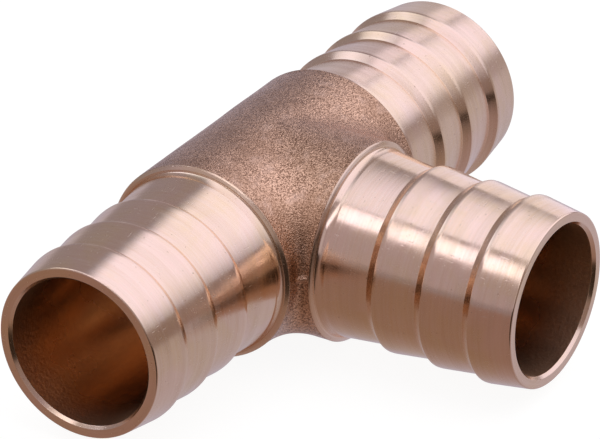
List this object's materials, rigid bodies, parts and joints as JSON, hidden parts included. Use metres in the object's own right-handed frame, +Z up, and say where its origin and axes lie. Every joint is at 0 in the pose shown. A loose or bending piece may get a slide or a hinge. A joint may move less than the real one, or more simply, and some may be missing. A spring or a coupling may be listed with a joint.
{
  "type": "barbed tee connector",
  "caption": "Equal barbed tee that joins irrigation hoses: a blasted cast body with turned hose tails on its run and its branch.",
  "frame": {"origin": "where the axis of the run crosses the axis of the branch", "axes": "+X along the run towards run_tail_right, -Y along the branch towards its mouth, +Z up, square to both"},
  "size_m": [0.093, 0.059, 0.028],
  "materials": {
    "cast_body": "as cast and bead blasted, matt",
    "turned_tail": "fine turned, bright"
  },
  "bodies": {
    "root": {"tee_body": "cast_body", "run_tail_left": "turned_tail", "run_tail_right": "turned_tail", "branch_tail": "turned_tail"}
  },
  "joints": []
}
